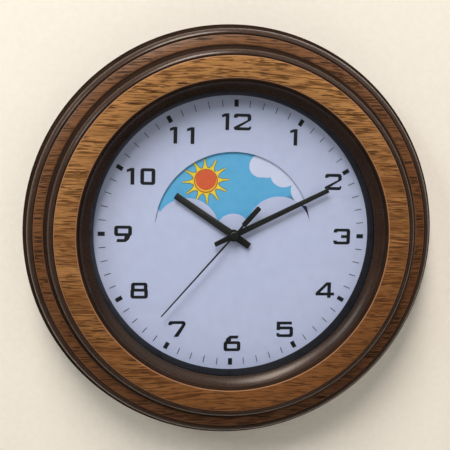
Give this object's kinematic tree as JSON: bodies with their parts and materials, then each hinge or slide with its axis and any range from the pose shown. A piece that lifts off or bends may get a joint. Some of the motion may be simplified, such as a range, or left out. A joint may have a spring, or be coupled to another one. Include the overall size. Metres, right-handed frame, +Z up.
{
  "type": "day and night wall clock",
  "caption": "Round quartz wall clock with a stepped wood-look rim, flat glass, three hands and a turning day and night disc behind a cloud-shaped dial window.",
  "frame": {"origin": "on the hands' axis, in the plane of the wall that the rim's back edge rests on", "axes": "+Z up to 12 o'clock, +X to 3 o'clock, the dial looks towards -Y and +Y points into the wall"},
  "size_m": [0.304, 0.0449, 0.304],
  "materials": {
    "brown_plastic": "satin moulded",
    "wood_grain": "satin foil",
    "lens_glass": "polished",
    "black_plastic": "matte",
    "dial_white": "satin",
    "print_black": "printed",
    "grey_plastic": "moulded",
    "steel": "plated",
    "white_plastic": "moulded",
    "brass": "turned",
    "rubber": "matte",
    "board": "solder mask",
    "copper": "enamelled wire",
    "battery_sleeve": "satin sleeve",
    "magnet": "sintered",
    "hand_black": "black enamel",
    "disc_white": "satin",
    "print_sky": "printed",
    "print_navy": "printed",
    "print_cloud": "printed",
    "print_yellow": "printed",
    "print_orange": "printed"
  },
  "bodies": {
    "case": {"rim": "brown_plastic", "outer_wood_band": "wood_grain", "inner_wood_band": "wood_grain", "lens": "lens_glass", "spacer_ring": "black_plastic", "dial": "dial_white", "hour_marks": "print_black", "minute_marks": "print_black", "numerals": "print_black", "back_plate": "grey_plastic", "middle_plate": "grey_plastic", "back_screws": "steel", "hanger_plate": "steel", "hanger_screws": "steel", "coil_core": "steel", "stator": "steel", "positive_contact": "steel", "negative_contact": "steel", "quartz_crystal": "steel", "movement_front_case": "white_plastic", "movement_back_cover": "white_plastic", "coil_bobbin": "white_plastic", "centre_bush": "brass", "bush_nut": "brass", "rubber_washer": "rubber", "circuit_board": "board", "timing_chip": "black_plastic", "coil_winding": "copper"},
    "battery": {"battery": "battery_sleeve"},
    "rotor": {"rotor_magnet": "magnet", "rotor_pinion": "white_plastic"},
    "intermediate": {"intermediate_wheel": "white_plastic"},
    "seconds": {"second_wheel": "white_plastic", "second_hand": "hand_black"},
    "third": {"third_wheel": "white_plastic"},
    "centre": {"centre_wheel": "brass", "clutch_spring": "steel"},
    "minutes": {"cannon_pinion": "brass", "minute_hand": "hand_black"},
    "minute_work": {"minute_wheel": "white_plastic"},
    "hours": {"hour_wheel": "white_plastic", "hour_hand": "hand_black"},
    "day_night": {"day_wheel": "white_plastic", "disc_collar": "white_plastic", "day_night_disc": "disc_white", "disc_day_sky": "print_sky", "disc_night_sky": "print_navy", "disc_clouds": "print_cloud", "disc_sun_rays": "print_yellow", "disc_moon": "print_yellow", "disc_stars": "print_yellow", "disc_sun_face": "print_orange"},
    "setting": {"setting_pinion": "white_plastic", "setting_knob": "black_plastic"}
  },
  "joints": [
    {"name": "second_hand_spin", "type": "hinge", "parent": "case", "child": "seconds", "pos_m": [0, 0, 0], "axis": [0, 1, 0], "continuous": true},
    {"name": "intermediate_spin", "type": "hinge", "parent": "case", "child": "intermediate", "pos_m": [0, 0, 0.00875], "axis": [0, 1, 0], "continuous": true},
    {"name": "rotor_spin", "type": "hinge", "parent": "case", "child": "rotor", "pos_m": [0.0065, 0, 0.0125], "axis": [0, 1, 0], "continuous": true},
    {"name": "third_spin", "type": "hinge", "parent": "case", "child": "third", "pos_m": [-0.009, 0, 0], "axis": [0, 1, 0], "continuous": true},
    {"name": "centre_spin", "type": "hinge", "parent": "case", "child": "centre", "pos_m": [0, 0, 0], "axis": [0, 1, 0], "continuous": true},
    {"name": "day_night_spin", "type": "hinge", "parent": "case", "child": "day_night", "pos_m": [0, 0, 0], "axis": [0, 1, 0], "continuous": true},
    {"name": "hour_hand_spin", "type": "hinge", "parent": "case", "child": "hours", "pos_m": [0, 0, 0], "axis": [0, 1, 0], "continuous": true},
    {"name": "minute_hand_spin", "type": "hinge", "parent": "case", "child": "minutes", "pos_m": [0, 0, 0], "axis": [0, 1, 0], "continuous": true},
    {"name": "minute_wheel_spin", "type": "hinge", "parent": "case", "child": "minute_work", "pos_m": [0.009, 0, 0], "axis": [0, 1, 0], "continuous": true},
    {"name": "setting_knob_spin", "type": "hinge", "parent": "case", "child": "setting", "pos_m": [0.018, 0, 0], "axis": [0, 1, 0], "continuous": true},
    {"name": "battery_slide", "type": "slide", "parent": "case", "child": "battery", "axis": [0, 1, 0], "range_m": [0, 0.02]}
  ],
  "couplings": [
    {"joint": "intermediate_spin", "follows": "second_hand_spin", "ratio": -6},
    {"joint": "rotor_spin", "follows": "second_hand_spin", "ratio": 30},
    {"joint": "third_spin", "follows": "second_hand_spin", "ratio": -0.125},
    {"joint": "centre_spin", "follows": "second_hand_spin", "ratio": 0.016667},
    {"joint": "hour_hand_spin", "follows": "day_night_spin", "ratio": 2},
    {"joint": "minute_hand_spin", "follows": "day_night_spin", "ratio": 24},
    {"joint": "minute_wheel_spin", "follows": "day_night_spin", "ratio": -8},
    {"joint": "setting_knob_spin", "follows": "day_night_spin", "ratio": 24}
  ]
}
